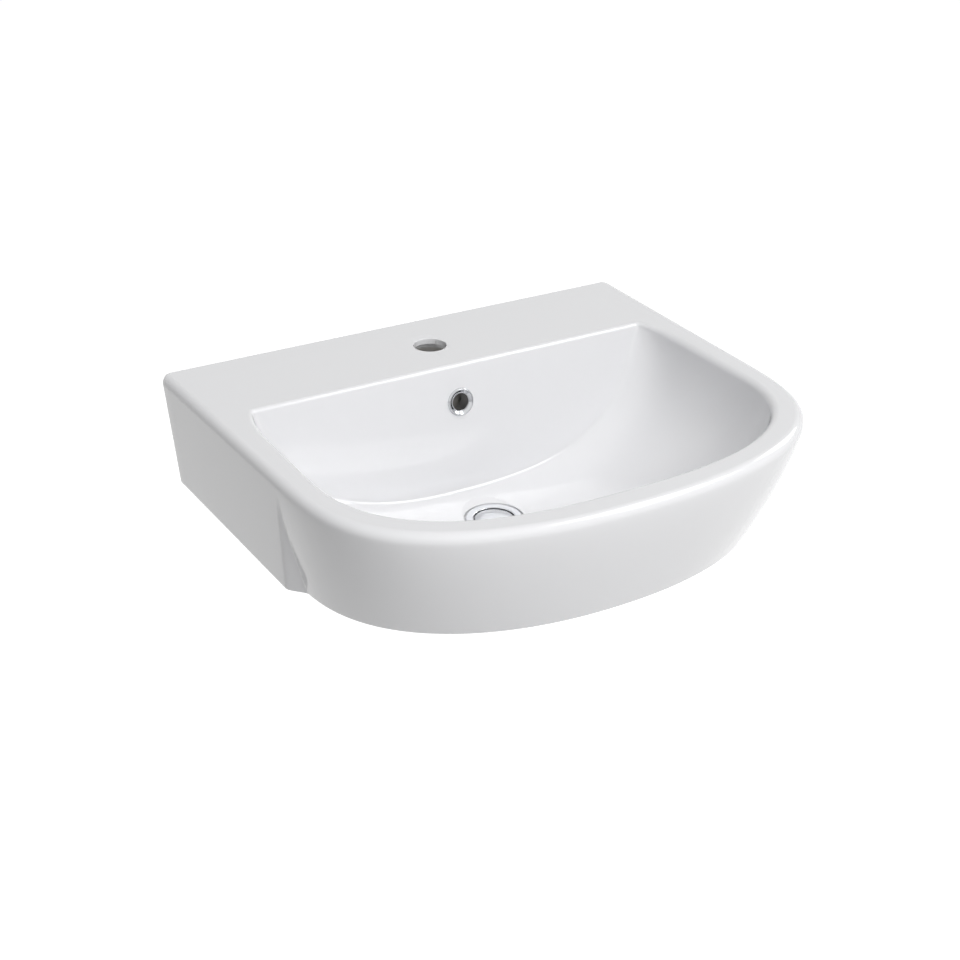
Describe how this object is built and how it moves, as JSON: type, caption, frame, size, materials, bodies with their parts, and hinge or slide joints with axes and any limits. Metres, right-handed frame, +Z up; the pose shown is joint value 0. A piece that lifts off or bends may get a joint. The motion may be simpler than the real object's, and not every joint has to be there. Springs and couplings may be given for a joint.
{
  "type": "semi-recessed washbasin",
  "caption": "White glazed ceramic washbasin with a rounded projecting front, a flat tap deck, an overflow with a trim ring and a click plug waste.",
  "frame": {"origin": "on the back face, midway between the two wall fixing holes", "axes": "+X to the user's right along the wall, +Y into the wall, +Z up; the rim is level"},
  "size_m": [0.55, 0.47, 0.221],
  "materials": {
    "ceramic": "gloss white glaze",
    "chrome": "polished",
    "brass": "machined",
    "rubber": "matt",
    "nylon": "moulded",
    "steel": "drawn"
  },
  "bodies": {
    "basin_body": {"basin": "ceramic", "overflow_ring": "chrome", "waste_body": "chrome", "flange_seal": "rubber", "cone_washer": "rubber", "slip_washer": "nylon", "back_nut": "brass", "click_housing": "nylon", "click_base": "nylon", "return_spring": "steel"},
    "plug": {"plunger": "brass", "latch_pin": "steel", "plug_stud": "steel", "stud_nut": "steel", "plug_seal": "rubber", "plug_cap": "chrome"}
  },
  "joints": [
    {"name": "plug_lift", "type": "slide", "parent": "basin_body", "child": "plug", "axis": [0, 0, 1], "range_m": [0, 0.008], "deforming": ["return_spring"]}
  ]
}
